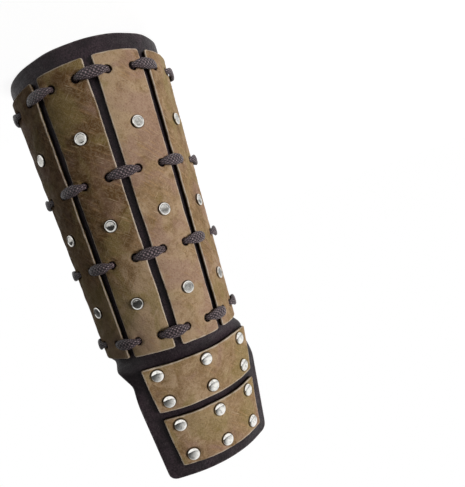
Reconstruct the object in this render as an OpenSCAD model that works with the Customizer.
// Leather forearm bracer with a riveted hand guard.
// It stands on its wide elbow rim at z = 0. +Z runs along the forearm to the hand.
// The back of the hand faces -Y, and the straps close the open seam on the +Y side.

/* [Sleeve] */
// Outer radius of the base leather at the elbow rim
elbow_r = 51.8; // [46:0.1:58]
// Outer radius of the base leather where the strips end at the wrist
wrist_r = 43.8; // [39:0.1:49]
// Thickness of the base leather
base_t = 3.0; // [2:0.1:4]
// Height at which the strips start, above the elbow rim
strip_start_z = 11.2; // [8:0.1:14]
// Height at which the strips end at the wrist
strip_end_z = 187; // [183:0.5:192]
// How far the sleeve's own edge at the wrist stands past the strips
sleeve_past = 3; // [2.5:0.1:6]
// Angle of the open seam at the back, edge to edge
seam_deg = 16; // [12:1:22]

/* [Strips] */
// Number of leather strips
strip_count = 5; // [5:2:5]
// Angle from the middle of one strip to the middle of the next
strip_pitch_deg = 38.6; // [37:0.1:40]
// Angle that one strip covers
strip_deg = 33.0; // [31:0.1:34]
// Thickness of a strip
strip_t = 2.7; // [2:0.1:3.4]
// Radius of a strip's corners
strip_corner_r = 1.8; // [1:0.1:4]
// Radius of the bevel round a strip's upper and lower edge
edge_bevel = 0.6; // [0.3:0.1:0.9]

/* [Lacing] */
// First two lace rows: distances from the strips' elbow end
lace_from_elbow = [10, 68.9]; // [8:0.1:80]
// Last two lace rows: distances from the strips' wrist end
lace_from_wrist = [57.8, 9.5]; // [8:0.1:80]
// Angle from the middle of a gap to the lace hole on either side
lace_hole_deg = 10.2; // [9.6:0.1:11]
// Width of the lace where it passes over a gap
lace_w = 6.6; // [5:0.1:7.4]
// Thickness of the lace
lace_t = 2.6; // [2:0.1:3]
// Width of the lace where it is squeezed in a hole
lace_hole_w = 4.0; // [3:0.1:4.6]

/* [Hand guard] */
// Height of the wrist fold past the strips' end
fold_past = 8.6; // [7.5:0.1:10]
// Length of the hand guard past the wrist fold
guard_len = 73.9; // [70:0.1:82]
// Height of the guard's shoulders past the wrist fold
shoulder_past = 8.4; // [6.5:0.1:12]
// Radius of the guard's cross curve
guard_curve_r = 65.2; // [60:0.1:75]
// Distance of the guard's middle line from the forearm's axis at the wrist fold
guard_front_r = 39.7; // [38:0.1:41]
// Slope of the guard towards the palm
guard_tilt_deg = 6.57; // [4:0.1:9]
// Half width of the guard at its shoulders, along the curve
guard_half_w = 48.2; // [44:0.1:50]
// Half width of the guard at its far edge, along the curve
guard_end_half_w = 41.5; // [38:0.1:43]
// Radius of the guard's corners
guard_corner_r = 5; // [3:0.5:8]
// Distance along the cross curve from the guard's middle to its flat side flanges
guard_flat_from = 27; // [24:0.5:30]

/* [Guard plates] */
// Thickness of a guard plate
plate_t = 2.7; // [2:0.1:3.4]
// Radius of a plate's corners
plate_corner_r = 1.4; // [1:0.1:3]
// Upper plate: height of its near edge above the wrist fold
upper_plate_from = 0.3; // [0.2:0.1:1.5]
// Upper plate: length towards the hand
upper_plate_len = 29; // [27:0.1:30]
// Upper plate: half width at its near edge
upper_plate_half_w = 40.4; // [37:0.1:42]
// Gap between the two plates
plate_gap = 4.6; // [3:0.1:6]
// Lower plate: length towards the hand
lower_plate_len = 31.8; // [30:0.1:34]
// Lower plate: half width at its near edge
lower_plate_half_w = 35.0; // [32:0.1:37]
// How much narrower each half of a plate is at its far edge
plate_taper = 4.6; // [3:0.1:6]

/* [Rivets] */
// Rivets of a strip nearer to the elbow: distances from the strips' elbow end
rivets_from_elbow = [42.8, 95.8]; // [30:0.1:110]
// Rivets of a strip nearer to the wrist: distances from the strips' wrist end
rivets_from_wrist = [31.7]; // [20:0.1:60]
// Diameter of a strip rivet's cap
strip_cap_d = 7.4; // [6.5:0.1:8.5]
// Height of a strip rivet's cap
strip_cap_h = 1.3; // [1:0.1:2]
// Diameter of a plate rivet's cap
plate_cap_d = 7.8; // [6.5:0.1:9]
// Height of a plate rivet's domed cap
plate_cap_h = 2.0; // [1.4:0.1:2.6]
// Distance of a plate's rivets from its near and far edge
plate_rivet_inset = 5.3; // [4.8:0.1:7]
// Distance of a plate's outer rivets from its side edge
plate_rivet_side = 8.6; // [6:0.1:10]
// Diameter of every rivet's shank
shank_d = 3.0; // [2.4:0.1:3.6]
// Diameter of every rivet's flat back
back_d = 6.6; // [5.5:0.1:8]
// Thickness of every rivet's flat back
back_t = 0.8; // [0.6:0.1:1.2]

/* [Straps and buckles] */
// Height of the elbow strap above the elbow rim
elbow_strap_z = 40; // [30:0.1:60]
// Height of the middle strap above the elbow rim
middle_strap_z = 104.6; // [80:0.1:125]
// Distance of the wrist strap from the sleeve's edge at the wrist
wrist_strap_past = 24; // [20:0.1:40]
// Width of a strap
strap_w = 16; // [14:0.5:18]
// Thickness of a strap
strap_t = 2.2; // [1.8:0.1:2.6]
// Angle from the seam's middle to the strap's riveted end
strap_root_deg = 42; // [38:1:48]
// Angle from the seam's middle to the strap's loose tip
strap_tip_deg = 66; // [62:1:72]
// Angle from the seam's middle to the buckle's hinge bar
bar_deg = 20; // [19:0.5:22]
// Distance between the hinge bar and the front bar of a buckle
buckle_len = 13.4; // [12.5:0.1:15]
// Diameter of the buckle's hinge bar
bar_d = 2.5; // [2:0.1:3]
// Diameter of the buckle's front and side bars
frame_d = 2.6; // [2.2:0.1:3]
// Thickness of the folded tab that holds the buckle, one layer
tab_t = 1.6; // [1.2:0.1:2]
// Angle that the tab runs back from the hinge bar
tab_deg = 27; // [25:1:30]
// Diameter of the buckle's prong
prong_d = 2.2; // [1.8:0.1:2.4]
// Width of the strap loop that keeps the loose end down
keeper_w = 7; // [6:0.5:8]
// Thickness of the strap loop
keeper_t = 1.3; // [1:0.1:1.6]
// Diameter of the caps on the straps' rivets
strap_cap_d = 6.4; // [5.5:0.1:7]
// Height of the caps on the straps' rivets
strap_cap_h = 1.1; // [0.9:0.1:1.4]

/* [Fits] */
// Gap between leather layers that lie on each other
layer_gap = 0.15; // [0.1:0.05:0.3]
// Radial clearance of a rivet's shank in its hole
shank_fit = 0.05; // [0.03:0.01:0.1]
// Radial clearance of the buckle's bar in its tab and prong
bar_fit = 0.08; // [0.05:0.01:0.1]
// Clearance round a lace in its hole
lace_fit = 0.25; // [0.2:0.05:0.4]
// Clearance beside a strap in its buckle and loop
strap_fit = 0.6; // [0.4:0.1:1]

/* [Hidden] */
$fn = 48;

tan_leather = "#8a6e4b";
dark_leather = "#26201f";
lace_brown = "#3a2b2e";
nickel = "#c9cbcd";

// Heights that follow from the strips' end
sleeve_end_z = strip_end_z + sleeve_past;
fold_z = strip_end_z + fold_past;
shoulder_z = fold_z + shoulder_past;
guard_end_z = fold_z + guard_len;
lace_z = concat(
    [for (d = lace_from_elbow) strip_start_z + d],
    [for (d = lace_from_wrist) strip_end_z - d]);
strip_rivet_z = concat(
    [for (d = rivets_from_elbow) strip_start_z + d],
    [for (d = rivets_from_wrist) strip_end_z - d]);
strap_z = [elbow_strap_z, middle_strap_z, sleeve_end_z - wrist_strap_past];

// The sleeve is a cone: its outer radius at a height, and its slope
cone_rate = (elbow_r - wrist_r) / strip_end_z;
cone_deg = atan(cone_rate);
function cone_r(z) = elbow_r - cone_rate * z;
half_seam = seam_deg / 2;
sheet_deg = 180 - half_seam;
eps = 0.01;
// Long enough to cut right through any layer
through = 30;

// Places children on the sleeve, with local z square to its outer face
module on_cone(deg, z, out = 0) {
    rotate([0, 0, deg])
        translate([0, -cone_r(z), z])
            rotate([90 - cone_deg, 0, 0])
                translate([0, 0, out])
                    children();
}

// The guard's face is round in the middle and runs on straight at its two sides
function arc_deg(arc) = arc / guard_curve_r * 180 / PI;
function round_part(arc) = min(guard_flat_from, max(-guard_flat_from, arc));
function flat_part(arc) = arc - round_part(arc);
// Places children on the guard's outer face, at a length across it and a height
module on_guard(arc, z, out = 0) {
    translate([0, -guard_front_r, fold_z])
        rotate([-guard_tilt_deg, 0, 0])
            translate([0, guard_curve_r, (z - fold_z) / cos(guard_tilt_deg)])
                rotate([0, 0, arc_deg(round_part(arc))])
                    translate([flat_part(arc), -guard_curve_r - out, 0])
                        rotate([90, 0, 0])
                            children();
}

// A hole with round ends, long across the sleeve or along it
module oval_cut(across, along) {
    d = min(across, along);
    dx = (across - d) / 2;
    dy = (along - d) / 2;
    for (s = [-1, 1])
        translate([s * dx, s * dy, -through / 2])
            cylinder(d = d, h = through, $fn = 24);
    translate([-dx - (dx > 0 ? 0 : d / 2), -dy - (dy > 0 ? 0 : d / 2), -through / 2])
        cube([2 * dx + (dx > 0 ? 0 : d), 2 * dy + (dy > 0 ? 0 : d), through]);
}

// A closed skin between two grids of points, given as rows of equal length
function flat_list(rows) = [for (r = rows) for (p = r) p];
function grid_faces(n, m, first, turn) = [
    for (i = [0:n - 2]) for (j = [0:m - 2])
        let (a = first + i * m + j, b = a + 1, c = a + m, d = c + 1)
            for (f = [[a, b, d], [a, d, c]])
                turn ? [f[0], f[2], f[1]] : f];
function rim_faces(ring, n) = [
    for (k = [0:len(ring) - 1])
        let (a = ring[k], b = ring[(k + 1) % len(ring)])
            for (f = [[a, a + n, b + n], [a, b + n, b]]) f];
function rim_ring(n, m) = concat(
    [for (j = [0:m - 2]) j],
    [for (i = [0:n - 2]) i * m + m - 1],
    [for (j = [m - 1:-1:1]) (n - 1) * m + j],
    [for (i = [n - 1:-1:1]) i * m]);
module skin(outer, inner) {
    n = len(outer);
    m = len(outer[0]);
    polyhedron(
        points = concat(flat_list(outer), flat_list(inner)),
        faces = concat(
            grid_faces(n, m, 0, true),
            grid_faces(n, m, n * m, false),
            rim_faces(rim_ring(n, m), n * m)),
        convexity = 8);
}

// Base leather: a cone sleeve, and above the strips a sheet that folds into the guard

function smooth(t) = let (c = min(1, max(0, t))) c * c * (3 - 2 * c);
// Angle about the forearm's axis of a place on the guard
function guard_deg(arc, z, out = 0) =
    let (t = arc_deg(round_part(arc)),
        e = flat_part(arc),
        u = (guard_curve_r + out) * sin(t) + e * cos(t),
        back = guard_curve_r - (guard_curve_r + out) * cos(t) + e * sin(t),
        w = guard_front_r - (z - fold_z) * tan(guard_tilt_deg) - back / cos(guard_tilt_deg))
    atan2(u, w);
// Distance from the forearm's axis to the guard's face, at an angle and a height:
// the round middle solves a quadratic, and a flat flange is its tangent plane
function guard_r(deg, z, out) =
    let (c = cos(guard_tilt_deg),
        k = guard_front_r * c - (z - fold_z) * sin(guard_tilt_deg) - guard_curve_r,
        a = pow(sin(deg), 2) + pow(cos(deg) * c, 2),
        b = k * cos(deg) * c,
        q = k * k - pow(guard_curve_r + out, 2),
        t = arc_deg(guard_flat_from))
    deg < guard_deg(guard_flat_from, z, out)
        ? (b + sqrt(b * b - a * q)) / a
        : (guard_curve_r + out + k * cos(t)) / (sin(deg) * sin(t) + cos(deg) * cos(t) * c);
// The guard's sides fade into the round sleeve. They start nearer to the middle at the
// wrist, where the shoulders bend back round it, and end beyond the guard's edge higher up
flare_low_deg = 44;
flare_high_deg = 62;
flare_span = 27;
// The shoulder on the +X side stands off the wrist a little more than the other one
function flare_to(deg) = deg > 0 ? 92 : 80;
function flare_from(z) = flare_low_deg
    + (flare_high_deg - flare_low_deg) * smooth((z - fold_z) / flare_span);
function sheet_r(deg, z, out) =
    let (cone = cone_r(z) + out,
        turn = abs(deg),
        up = smooth((z - strip_end_z) / (fold_z - strip_end_z)),
        side = 1 - smooth((turn - flare_from(z)) / (flare_to(deg) - flare_from(z))))
    side > 0 ? cone + up * side * (guard_r(turn, z, out) - cone) : cone;

// The sheet's far edge as [angle, height], from the middle to the seam
corner_steps = [0, 30, 60, 90];
end_steps = 9;
// The side edge starts a little above the shoulder, and a little wider there
shoulder_rise = 3;
shoulder_spread_deg = 0.6;
// The guard's side edge sweeps down to the sleeve's edge by this angle
side_end_deg = 90;
sweep_power = 2.2;
back_steps = 15;
function edge_half() = concat(
    [for (i = [0:end_steps - 1])
        [guard_deg(i / end_steps * (guard_end_half_w - guard_corner_r), guard_end_z), guard_end_z]],
    [for (t = corner_steps)
        let (z = guard_end_z - guard_corner_r * (1 - cos(t)))
            [guard_deg(guard_end_half_w - guard_corner_r * (1 - sin(t)), z), z]],
    [for (f = [0.5, 1])
        let (z = guard_end_z - guard_corner_r
                - f * (guard_end_z - guard_corner_r - shoulder_z - shoulder_rise),
            w = guard_end_half_w + f * (guard_half_w - guard_end_half_w))
            [guard_deg(w, z) + shoulder_spread_deg * f, z]],
    [for (f = [0.06, 0.18, 0.34, 0.5, 0.66, 0.83, 1])
        let (a = guard_deg(guard_half_w, shoulder_z) + 2 * shoulder_spread_deg)
            [a + f * (side_end_deg - a),
                sleeve_end_z + (shoulder_z - sleeve_end_z) * pow(1 - f, sweep_power)]],
    [for (i = [1:back_steps])
        [side_end_deg + i / back_steps * (sheet_deg - side_end_deg), sleeve_end_z]]);
function mirrored(h) = concat(
    [for (i = [len(h) - 1:-1:1]) [-h[i][0], h[i][1]]], h);
// One row spans the straight sleeve. Above it, rows are close together through the fold
// and wide over the flat guard
fold_rows = 4;
guard_rows = 5;
fold_top_z = fold_z + 0.9;
full_column_z = shoulder_z - 2;
function row_z(i, top) =
    i == 0 ? 0
    : top > full_column_z
        ? (i <= fold_rows + 1
            ? strip_end_z + (fold_top_z - strip_end_z) * (i - 1) / fold_rows
            : fold_top_z + (top - fold_top_z) * (i - 1 - fold_rows) / guard_rows)
        : strip_end_z + (top - strip_end_z) * (i - 1) / (fold_rows + guard_rows);
function sheet_rows(out) =
    let (edge = mirrored(edge_half()))
    [for (i = [0:fold_rows + guard_rows + 1])
        [for (e = edge)
            let (z = row_z(i, e[1]), r = sheet_r(e[0], z, out))
                [r * sin(e[0]), -r * cos(e[0]), z]]];

module base_leather() {
    color(dark_leather)
        difference() {
            skin(sheet_rows(0), sheet_rows(-base_t));
            strip_rivet_holes();
            plate_rivet_holes();
            lace_holes();
            strap_rivet_holes();
        }
}

// Strips

mid_strip = (strip_count - 1) / 2;
function strip_mid_deg(i) = (i - mid_strip) * strip_pitch_deg;

// The rounding is a touch wide, so that it crosses the strip's edges and isn't tangent
corner_over = 0.06;
module strip_corner(side, up) {
    // The square corner outside a quarter circle, cut away
    translate([-side * strip_corner_r, -up * strip_corner_r, 0])
        difference() {
            translate([side > 0 ? 0 : -strip_corner_r * 2, up > 0 ? 0 : -strip_corner_r * 2, -through / 2])
                cube([strip_corner_r * 2, strip_corner_r * 2, through]);
            translate([0, 0, -through / 2 - eps])
                cylinder(r = strip_corner_r + corner_over, h = through + 2 * eps);
        }
}

module strip(i) {
    mid = strip_mid_deg(i);
    r = layer_gap + strip_t;
    color(tan_leather)
        difference() {
            rotate([0, 0, mid - strip_deg / 2 - 90])
                rotate_extrude(angle = strip_deg, $fn = 96)
                    polygon([
                        [cone_r(strip_start_z) + layer_gap, strip_start_z],
                        [cone_r(strip_start_z) + r - edge_bevel, strip_start_z],
                        [cone_r(strip_start_z) + r, strip_start_z + edge_bevel],
                        [cone_r(strip_end_z) + r, strip_end_z - edge_bevel],
                        [cone_r(strip_end_z) + r - edge_bevel, strip_end_z],
                        [cone_r(strip_end_z) + layer_gap, strip_end_z]]);
            for (s = [-1, 1]) {
                on_cone(mid + s * strip_deg / 2, strip_start_z)
                    strip_corner(s, -1);
                on_cone(mid + s * strip_deg / 2, strip_end_z)
                    strip_corner(s, 1);
            }
            strip_rivet_holes(i);
            lace_holes(i);
        }
}

// Lacing

hole_along = lace_hole_w + 2 * lace_fit;
hole_across = lace_t + 4.8 * lace_fit;
gap_count = strip_count + 1;
function gap_deg(g) = (g - gap_count / 2 + 0.5) * strip_pitch_deg;
// Angles of the holes on both sides of each gap
lace_hole_angles = [for (g = [0:gap_count - 1]) for (s = [-1, 1]) gap_deg(g) + s * lace_hole_deg];
module lace_holes(only = -1) {
    for (z = lace_z) for (a = lace_hole_angles)
        if (only < 0 || abs(a - strip_mid_deg(only)) < strip_deg / 2)
            on_cone(a, z)
                oval_cut(hole_across, hole_along);
}

// The lace's route round the sleeve as [angle, distance from the outer face, half width]
over_r = layer_gap + strip_t + lace_fit + lace_t / 2;
base_over_r = layer_gap + lace_fit + lace_t / 2;
under_r = -base_t - lace_fit - lace_t / 2;
turn_r = lace_t / 2 + 0.9;
half_w_over = lace_w / 2;
half_w_hole = lace_hole_w / 2;
knot_half_w = 3.2;
knot_half_t = 2.4;
// One stitch over a gap: left and right say how high each side lies
function deg_of(len, z) = len / cone_r(z) * 180 / PI;
function stitch(g, z, left, right) =
    let (a = gap_deg(g), h = lace_hole_deg, q = deg_of(turn_r, z),
        crown = 0.5)
    [[a - h, left - turn_r, half_w_hole, 1],
    [a - h + q * 0.3, left - turn_r * 0.3, half_w_hole * 1.15, 1],
    [a - h + q, left, half_w_hole * 1.45, 1],
    [a - h * 0.45, left + (left == right ? crown : 0.1), half_w_over, 1],
    [a, (left + right) / 2 + crown, half_w_over, 1],
    [a + h * 0.45, right + (left == right ? crown : 0.1), half_w_over, 1],
    [a + h - q, right, half_w_hole * 1.45, 1],
    [a + h - q * 0.3, right - turn_r * 0.3, half_w_hole * 1.15, 1],
    [a + h, right - turn_r, half_w_hole, 1]];
// The run inside the sleeve from one gap's hole to the next one's
function inside_run(g, z) =
    let (a = gap_deg(g) + lace_hole_deg, b = gap_deg(g + 1) - lace_hole_deg,
        q = deg_of(turn_r, z))
    [[a, under_r + turn_r, half_w_hole, 1],
    [a + q * 0.3, under_r + turn_r * 0.3, half_w_hole, 1],
    [a + q, under_r, half_w_hole * 1.15, 1],
    [a + (b - a) * 0.38, under_r, half_w_hole * 1.3, 1],
    [a + (b - a) * 0.62, under_r, half_w_hole * 1.3, 1],
    [b - q, under_r, half_w_hole * 1.15, 1],
    [b - q * 0.3, under_r + turn_r * 0.3, half_w_hole, 1],
    [b, under_r + turn_r, half_w_hole, 1]];
// The two ends inside, each swollen into a knot
function knot_end(a, side, z) =
    let (q = deg_of(turn_r, z), k = deg_of(knot_half_w, z), d = under_r - knot_half_t + lace_t / 2)
    [[a, under_r + turn_r, half_w_hole, 1],
    [a + side * q * 0.3, under_r + turn_r * 0.3, half_w_hole, 1],
    [a + side * q, under_r, half_w_hole, 1],
    [a + side * (q + k * 0.3), under_r - 0.2, half_w_hole, 1.05],
    [a + side * (q + k * 0.65), (under_r + d) / 2, knot_half_w * 0.9, 1.6],
    [a + side * (q + k * 1.2), d, knot_half_w, knot_half_t * 2 / lace_t],
    [a + side * (q + k * 1.75), (under_r + d) / 2, knot_half_w * 0.9, 1.6],
    [a + side * (q + k * 2.1), under_r - 0.2, half_w_hole * 0.8, 0.9],
    [a + side * (q + k * 3), under_r - 0.2, half_w_hole * 0.8, 0.9]];
function reversed(l) = [for (i = [len(l) - 1:-1:0]) l[i]];
function lace_route(z) =
    let (last = gap_count - 1)
    concat(
        reversed(knot_end(gap_deg(0) - lace_hole_deg, -1, z)),
        [for (g = [0:last])
            for (p = concat(
                stitch(g, z, g == 0 ? base_over_r : over_r, g == last ? base_over_r : over_r),
                g < last ? inside_run(g, z) : []))
                p],
        knot_end(gap_deg(last) + lace_hole_deg, 1, z));

// Points of one ring: an oval square to the route
lace_sides = 8;
function route_xy(p, z) =
    let (r = cone_r(z) + p[1]) [r * sin(p[0]), -r * cos(p[0])];
function lace_ring(p, dir, z) =
    let (xy = route_xy(p, z), nrm = [-dir[1], dir[0]])
    [for (k = [0:lace_sides - 1])
        let (t = (k + 0.5) * 360 / lace_sides,
            c = cos(t) / cos(180 / lace_sides) * p[3] * lace_t / 2,
            s = sin(t) / cos(180 / lace_sides) * p[2])
            [xy[0] + nrm[0] * c, xy[1] + nrm[1] * c, z + s]];
module lace_row(row) {
    z = lace_z[row];
    route = lace_route(z);
    n = len(route);
    flat = [for (p = route) route_xy(p, z)];
    rings = [for (i = [0:n - 1])
        let (d = flat[min(i + 1, n - 1)] - flat[max(i - 1, 0)])
            lace_ring(route[i], d / norm(d), z)];
    color(lace_brown)
        polyhedron(
            points = flat_list(rings),
            faces = concat(
                [for (i = [0:n - 2]) for (k = [0:lace_sides - 1])
                    let (a = i * lace_sides + k,
                        b = i * lace_sides + (k + 1) % lace_sides,
                        c = a + lace_sides,
                        d = b + lace_sides)
                        for (f = [[a, c, d], [a, d, b]]) f],
                [[for (k = [0:lace_sides - 1]) k]],
                [[for (k = [lace_sides - 1:-1:0]) (n - 1) * lace_sides + k]]),
            convexity = 10);
}

// Guard plates: sheets on the guard's cylinder, straight along the hand

// Columns of one half plate as [arc, near height, far height]
function plate_half(w, z0, z1) =
    let (w1 = w - plate_taper, c = plate_corner_r)
    concat(
        [for (i = [0:6]) [i / 6 * (w1 - c), z0, z1]],
        [for (t = [30, 60, 85]) [w1 - c * (1 - sin(t)), z0, z1 - c * (1 - cos(t))]],
        [for (f = [0.35, 0.7])
            let (a = w1 + f * (w - c - w1)) [a, z0, plate_side_z(a, w, z0, z1)]],
        [for (t = [30, 60, 90])
            let (a = w - c * (1 - sin(t)))
                [a, z0 + c * (1 - cos(t)), plate_side_z(a, w, z0, z1)]]);
// Height of the slanting side edge at an arc
function plate_side_z(a, w, z0, z1) =
    let (f = (a - w + plate_taper) / plate_taper)
    z1 - plate_corner_r - f * (z1 - z0 - 2 * plate_corner_r - 2);
function guard_point(arc, z, out) =
    let (t = arc_deg(round_part(arc)),
        e = flat_part(arc),
        x = (guard_curve_r + out) * sin(t) + e * cos(t),
        y = guard_curve_r - (guard_curve_r + out) * cos(t) + e * sin(t),
        h = (z - fold_z) / cos(guard_tilt_deg),
        s = sin(guard_tilt_deg),
        c = cos(guard_tilt_deg))
    [x, -guard_front_r + y * c + h * s, fold_z + h * c - y * s];
function mirrored_plate(h) = concat(
    [for (i = [len(h) - 1:-1:1]) [-h[i][0], h[i][1], h[i][2]]], h);
module plate(w, z0, z1) {
    cols = mirrored_plate(plate_half(w, z0, z1));
    function face(out) = [for (f = [1, 2]) [for (c = cols) guard_point(c[0], c[f], out)]];
    skin(face(layer_gap + plate_t), face(layer_gap));
}

upper_z0 = fold_z + upper_plate_from;
upper_z1 = upper_z0 + upper_plate_len;
lower_z0 = upper_z1 + plate_gap;
lower_z1 = lower_z0 + lower_plate_len;
// Rivet places on a plate as [arc, height]
function plate_rivet_spots(w, z0, z1) =
    [for (f = [0, 1]) for (s = [-1, 0, 1])
        let (z = f == 0 ? z0 + plate_rivet_inset : z1 - plate_rivet_inset - 1,
            half = w - plate_taper * (z - z0) / (z1 - z0))
            [s * (half - plate_rivet_side), z]];
upper_spots = plate_rivet_spots(upper_plate_half_w, upper_z0, upper_z1);
lower_spots = plate_rivet_spots(lower_plate_half_w, lower_z0, lower_z1);

module upper_guard_plate() {
    color(tan_leather)
        difference() {
            plate(upper_plate_half_w, upper_z0, upper_z1);
            plate_rivet_holes();
        }
}

module lower_guard_plate() {
    color(tan_leather)
        difference() {
            plate(lower_plate_half_w, lower_z0, lower_z1);
            plate_rivet_holes();
        }
}

// Rivets: a cap outside, a shank through the leather and a flat back inside

module shank_hole() {
    translate([0, 0, -through / 2])
        cylinder(d = shank_d + 2 * shank_fit, h = through, $fn = 24);
}

// A low cap with a raised ring round a shallow dome
module rimmed_cap(d, h) {
    rim = d * 0.1;
    edge_h = h * 0.45;
    floor_h = h * 0.62;
    dome_h = h * 0.4;
    rotate_extrude($fn = 32)
        union() {
            square([d / 2 - rim / 2, floor_h]);
            square([d / 2, edge_h]);
            translate([d / 2 - rim, edge_h])
                intersection() {
                    circle(r = rim, $fn = 16);
                    translate([-rim, 0])
                        square([2 * rim, rim]);
                }
            intersection() {
                translate([0, h - dome_r(d / 2 - rim, dome_h)])
                    circle(r = dome_r(d / 2 - rim, dome_h), $fn = 96);
                translate([0, edge_h / 2])
                    square([d / 2 - rim, h]);
            }
        }
}
// Radius of the sphere that a dome of a half width and height is part of
function dome_r(half, high) = (half * half + high * high) / (2 * high);

// A round dome on a short straight edge
module domed_cap(d, h) {
    edge = h * 0.25;
    r = dome_r(d / 2, h - edge);
    cylinder(d = d, h = edge + eps, $fn = 32);
    translate([0, 0, edge])
        rotate_extrude($fn = 32)
            intersection() {
                translate([0, h - edge - r])
                    circle(r = r, $fn = 96);
                square([d / 2, h - edge]);
            }
}

// Local z = 0 is the face that the cap sits on; stack is the leather that it clamps
module rivet(stack, cap_d, cap_h, domed) {
    back_gap = pow(back_d / 2, 2) / (2 * (wrist_r - base_t)) + 0.05;
    translate([0, 0, 0.02]) {
        if (domed)
            domed_cap(cap_d, cap_h);
        else
            rimmed_cap(cap_d, cap_h);
    }
    translate([0, 0, -stack - back_gap - back_t])
        cylinder(d = back_d, h = back_t, $fn = 32);
    translate([0, 0, -stack - back_gap - back_t / 2])
        cylinder(d = shank_d, h = stack + back_gap + back_t / 2 + cap_h * 0.3, $fn = 24);
}

module strip_rivet_holes(only = -1) {
    for (i = [0:strip_count - 1])
        if (only < 0 || only == i)
            for (z = strip_rivet_z)
                on_cone(strip_mid_deg(i), z)
                    shank_hole();
}

module plate_rivet_holes() {
    for (p = concat(upper_spots, lower_spots))
        on_guard(p[0], p[1])
            shank_hole();
}

module strip_rivets() {
    color(nickel)
        for (i = [0:strip_count - 1]) for (z = strip_rivet_z)
            on_cone(strip_mid_deg(i), z, layer_gap + strip_t)
                rivet(strip_t + layer_gap + base_t, strip_cap_d, strip_cap_h, false);
}

module plate_rivets(spots) {
    color(nickel)
        for (p = spots)
            on_guard(p[0], p[1], layer_gap + plate_t)
                rivet(plate_t + layer_gap + base_t, plate_cap_d, plate_cap_h, true);
}
module upper_plate_rivets() {
    plate_rivets(upper_spots);
}
module lower_plate_rivets() {
    plate_rivets(lower_spots);
}

// Straps and buckles at the back
// Each closure is drawn in a flat frame with the sleeve's outer circle round the origin,
// the seam's middle at -y, the buckle towards +x and the strap's riveted end towards -x

module closure(k) {
    z = strap_z[k];
    rotate([0, 0, 180])
        translate([0, -cone_r(z), z])
            rotate([-cone_deg, 0, 0])
                translate([0, cone_r(z), 0])
                    children();
}
function at(deg, r) = [r * sin(deg), -r * cos(deg)];
module turned(deg, r) {
    translate([at(deg, r)[0], at(deg, r)[1], 0])
        rotate([0, 0, deg])
            rotate([90, 0, 0])
                children();
}

strap_gap = 0.3;
loop_in_r = bar_d / 2 + bar_fit;
loop_out_r = loop_in_r + tab_t;
// The prong's eye is a little wider than its arm
eye_r = loop_in_r + 1.1;
eye_w = prong_d + 0.4;
bar_out = strap_gap + loop_out_r;
front_out = strap_gap + strap_t + 0.25 + frame_d / 2;
tab_out = strap_gap + 2 * tab_t;
strap_over_bar = bar_out + loop_out_r + 0.2;
strap_over_tab = tab_out + strap_cap_h + 0.3;
function front_deg(k) = bar_deg - 2 * asin(buckle_len / 2 / (cone_r(strap_z[k]) + front_out));
tab_end_deg = bar_deg + tab_deg;
tab_rivet_deg = [bar_deg + 8, bar_deg + 23];
keeper_deg = bar_deg + 15.5;
strap_rivet_deg = [-strap_root_deg + 5, -strap_root_deg + 18];

// Height of the strap's inner face above the sleeve, at an angle from the seam
function strap_lift(a, k) =
    let (f = front_deg(k))
    a < f + 1 ? strap_gap
    : a < bar_deg ? strap_gap + smooth((a - f - 1) / (bar_deg - f - 1)) * (strap_over_bar - strap_gap)
    : a < bar_deg + 6
        ? strap_over_bar + smooth((a - bar_deg) / 6) * (strap_over_tab - strap_over_bar)
    : a < tab_end_deg ? strap_over_tab
    : strap_over_tab - smooth((a - tab_end_deg) / (strap_tip_deg - tab_end_deg))
        * (strap_over_tab - strap_gap - 0.5);
strap_step_deg = 1.5;
strap_angles = [for (a = [-strap_root_deg:strap_step_deg:strap_tip_deg]) a];
// The oval holes of the strap: one holds the prong, the rest adjust the fit
prong_slot_deg = bar_deg - 3.3;
prong_slot_len = 12.4;
prong_slot_w = prong_d + 1.2;
spare_hole_deg = [bar_deg + 30, bar_deg + 37];

module strap(k) {
    r = cone_r(strap_z[k]);
    inner = [for (a = strap_angles) at(a, r + strap_lift(a, k))];
    outer = [for (a = strap_angles) at(a, r + strap_lift(a, k) + strap_t)];
    tip_r = strap_w / 2;
    color(dark_leather)
        closure(k)
            difference() {
                translate([0, 0, -strap_w / 2])
                    linear_extrude(strap_w)
                        polygon(concat(inner, reversed(outer)));
                // The loose end is cut to a round tip
                turned(strap_tip_deg - deg_of(tip_r, strap_z[k]) - 0.8, r)
                    difference() {
                        translate([0, -strap_w, -through / 2])
                            cube([strap_w * 2, strap_w * 2, through]);
                        translate([0, 0, -through / 2 - eps])
                            cylinder(r = tip_r, h = through + 2 * eps);
                    }
                turned(prong_slot_deg, r)
                    oval_cut(prong_slot_len, prong_slot_w);
                for (a = spare_hole_deg)
                    turned(a, r)
                        oval_cut(prong_slot_w * 1.6, prong_slot_w);
                for (a = strap_rivet_deg)
                    turned(a, r)
                        shank_hole();
            }
}

// A flat ring sector round the sleeve, drawn as a cross section
module band(from_deg, to_deg, r_in, r_out) {
    mid = (from_deg + to_deg) / 2;
    half = (to_deg - from_deg) / 2;
    far = r_out * 1.2;
    intersection() {
        difference() {
            circle(r = r_out, $fn = 180);
            circle(r = r_in, $fn = 180);
        }
        polygon([[0, 0], at(mid - half, far), at(mid, far * 1.1), at(mid + half, far)]);
    }
}

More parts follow.
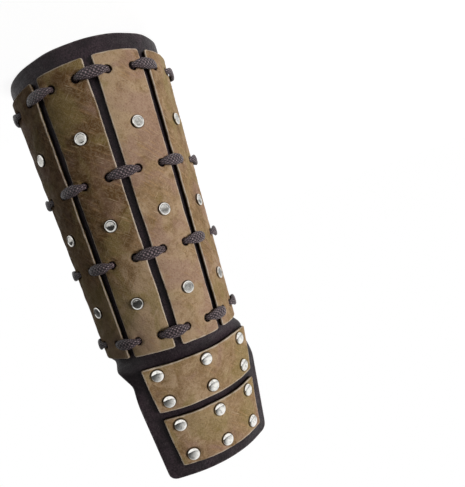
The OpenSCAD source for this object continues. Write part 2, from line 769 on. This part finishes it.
module buckle_tab(k) {
    r = cone_r(strap_z[k]);
    bar = at(bar_deg, r + bar_out);
    color(dark_leather)
        closure(k)
            difference() {
                translate([0, 0, -strap_w / 2])
                    linear_extrude(strap_w)
                        difference() {
                            union() {
                                translate(bar)
                                    circle(r = loop_out_r, $fn = 48);
                                band(bar_deg, tab_end_deg, r + strap_gap, r + tab_out);
                            }
                            translate(bar)
                                circle(r = loop_in_r, $fn = 48);
                        }
                // The slot that the prong turns in
                translate([bar[0], bar[1], 0])
                    cube([4 * loop_out_r, 4 * loop_out_r, prong_d + 1.6], center = true);
                // The cross groove that the strap loop passes through
                turned(keeper_deg, r)
                    translate([-keeper_w / 2 - 0.2, -strap_w, -1])
                        cube([keeper_w + 0.4, strap_w * 2, 1 + strap_gap + keeper_t + 0.3]);
                for (a = tab_rivet_deg)
                    turned(a, r)
                        shank_hole();
            }
}

module keeper(k) {
    r = cone_r(strap_z[k]);
    low = strap_gap;
    high = strap_over_tab + strap_t + 0.3 + keeper_t;
    half = strap_w / 2 + strap_fit * 0.5;
    color(dark_leather)
        closure(k)
            turned(keeper_deg, r)
                difference() {
                    translate([-keeper_w / 2, -half - keeper_t, low])
                        cube([keeper_w, 2 * half + 2 * keeper_t, high - low]);
                    translate([-keeper_w, -half, low + keeper_t])
                        cube([2 * keeper_w, 2 * half, high - low - 2 * keeper_t]);
                }
}

// The buckle's corners are a little fuller than its bars
corner_ball = 1.12;
module bar_between(a, b, d) {
    v = b - a;
    translate(a)
        rotate([0, acos(v[2] / norm(v)), atan2(v[1], v[0])])
            cylinder(d = d, h = norm(v), $fn = 24);
}

module buckle(k) {
    r = cone_r(strap_z[k]);
    half = strap_w / 2 + strap_fit + frame_d / 2;
    b = at(bar_deg, r + bar_out);
    f = at(front_deg(k), r + front_out);
    color(nickel)
        closure(k)
            union() {
                bar_between([b[0], b[1], -half], [b[0], b[1], half], bar_d);
                bar_between([f[0], f[1], -half], [f[0], f[1], half], frame_d);
                for (s = [-half, half]) {
                    bar_between([b[0], b[1], s], [f[0], f[1], s], frame_d);
                    translate([b[0], b[1], s])
                        sphere(d = corner_ball * frame_d, $fn = 24);
                    translate([f[0], f[1], s])
                        sphere(d = corner_ball * frame_d, $fn = 24);
                }
            }
}

// An outline of even width round a bent line, its far end round
function side_of(a, b) = let (d = (b - a) / norm(b - a)) [-d[1], d[0]];
function path_side(path, half) = [for (i = [0:len(path) - 1])
    let (n = len(path) - 1,
        u = side_of(path[max(i - 1, 0)], path[max(i, 1)]),
        v = side_of(path[min(i, n - 1)], path[min(i + 1, n)]),
        m = (u + v) / 2)
        path[i] + half * m / (m * m)];
function round_end(path, half) =
    let (n = len(path) - 1, u = side_of(path[n - 1], path[n]), d = [u[1], -u[0]])
    [for (t = [60, 30, 0, -30, -60]) path[n] + half * (cos(t) * d + sin(t) * u)];
module prong(k) {
    r = cone_r(strap_z[k]);
    b = at(bar_deg, r + bar_out);
    f = front_deg(k);
    high = front_out + frame_d / 2 + prong_d / 2 + 0.1;
    line = [b, at(bar_deg - 4.8, r + bar_out + 2.9), at(f, r + high), at(f - 2.6, r + high)];
    half = prong_d / 2;
    color(nickel)
        closure(k)
            difference() {
                union() {
                    translate([b[0], b[1], -eye_w / 2])
                        cylinder(r = eye_r, h = eye_w, $fn = 48);
                    translate([0, 0, -half])
                        linear_extrude(prong_d)
                            polygon(concat(
                                path_side(line, half),
                                round_end(line, half),
                                reversed(path_side(line, -half))));
                }
                translate([b[0], b[1], -eye_w])
                    cylinder(r = loop_in_r, h = 2 * eye_w, $fn = 48);
            }
}

module strap_rivet_holes() {
    for (k = [0:len(strap_z) - 1])
        closure(k)
            for (a = concat(strap_rivet_deg, tab_rivet_deg))
                turned(a, cone_r(strap_z[k]))
                    shank_hole();
}

module closure_rivets(angles, stack) {
    color(nickel)
        for (k = [0:len(strap_z) - 1])
            closure(k)
                for (a = angles)
                    turned(a, cone_r(strap_z[k]) + stack)
                        rivet(stack + base_t, strap_cap_d, strap_cap_h, true);
}
module strap_rivets() {
    closure_rivets(strap_rivet_deg, strap_gap + strap_t);
}
module tab_rivets() {
    closure_rivets(tab_rivet_deg, tab_out);
}

base_leather();
strip(0);  // strip_1
strip(1);  // strip_2
strip(2);  // strip_3
strip(3);  // strip_4
strip(4);  // strip_5
upper_guard_plate();
lower_guard_plate();
lace_row(0);  // lace_row_1
lace_row(1);  // lace_row_2
lace_row(2);  // lace_row_3
lace_row(3);  // lace_row_4
strip_rivets();
upper_plate_rivets();
lower_plate_rivets();
strap(0);  // elbow_strap
strap(1);  // middle_strap
strap(2);  // wrist_strap
buckle_tab(0);  // elbow_buckle_tab
buckle_tab(1);  // middle_buckle_tab
buckle_tab(2);  // wrist_buckle_tab
keeper(0);  // elbow_keeper
keeper(1);  // middle_keeper
keeper(2);  // wrist_keeper
buckle(0);  // elbow_buckle
buckle(1);  // middle_buckle
buckle(2);  // wrist_buckle
prong(0);  // elbow_prong
prong(1);  // middle_prong
prong(2);  // wrist_prong
strap_rivets();
tab_rivets();
